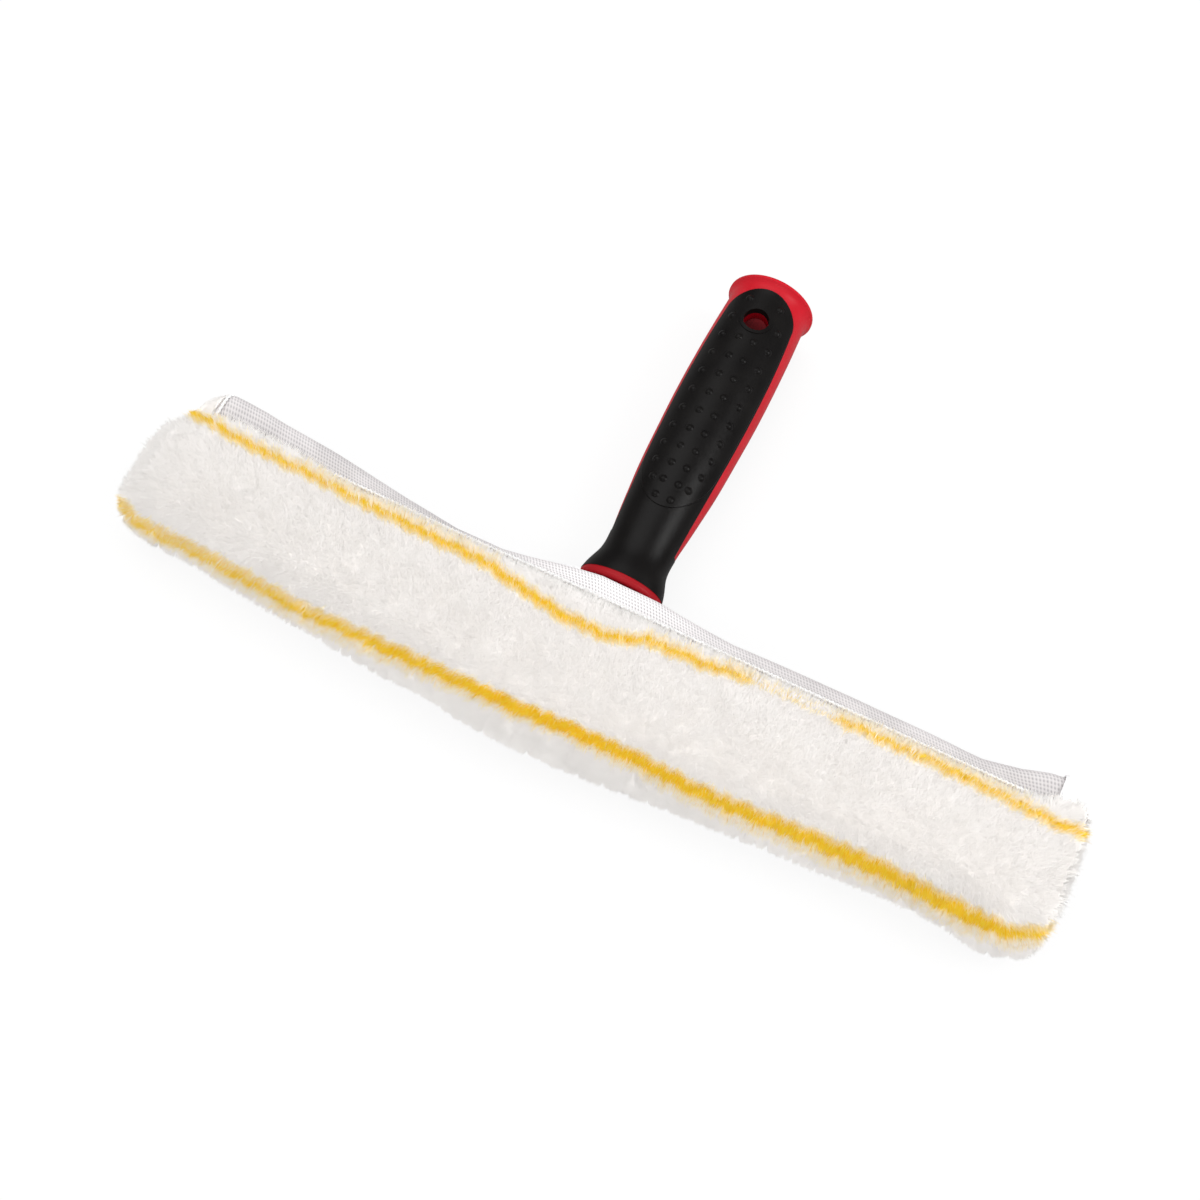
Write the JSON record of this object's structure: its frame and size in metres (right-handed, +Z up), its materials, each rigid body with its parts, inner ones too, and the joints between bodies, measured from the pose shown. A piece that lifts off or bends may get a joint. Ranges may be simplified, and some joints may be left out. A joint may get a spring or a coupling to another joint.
{
  "type": "window strip washer",
  "caption": "Window strip washer: a white plush sleeve with yellow stripes and a mesh back, pulled over the bar of a T-shaped handle with a black rubber grip on a red core.",
  "frame": {"origin": "the middle of the whole tool's box, on the surface that it lies on", "axes": "+X along the sleeve towards its open end, +Y out of the pole socket at the end of the handle, +Z up"},
  "size_m": [0.35, 0.2029, 0.04],
  "materials": {
    "red_plastic": "satin, moulded",
    "grip_rubber": "matt, moulded",
    "bar_metal": "drawn, satin",
    "plug_plastic": "matt",
    "screw_steel": "zinc plated",
    "hook_tape": "hook tape",
    "loop_tape": "loop tape",
    "plush": "dense cut pile, white with yellow stripes",
    "mesh": "knitted mesh",
    "hem_tape": "turned mesh, sewn",
    "thread": "overlock thread"
  },
  "bodies": {
    "t_bar": {"handle_core": "red_plastic", "grip_overmould": "grip_rubber", "crossbar": "bar_metal", "end_plug_left": "plug_plastic", "end_plug_right": "plug_plastic", "crossbar_screws": "screw_steel", "hook_pad_left": "hook_tape", "hook_pad_right": "hook_tape"},
    "sleeve": {"plush_wrap": "plush", "mesh_back": "mesh", "mesh_end_hem": "hem_tape", "opening_hem": "hem_tape", "slit_hook_tape": "hook_tape", "slit_loop_tape": "loop_tape", "upper_seam_thread": "thread", "lower_seam_thread": "thread", "end_seam_thread": "thread"}
  },
  "joints": [
    {"name": "sleeve_slide", "type": "slide", "parent": "t_bar", "child": "sleeve", "axis": [-1, 0, 0], "range_m": [0, 0.345]}
  ]
}
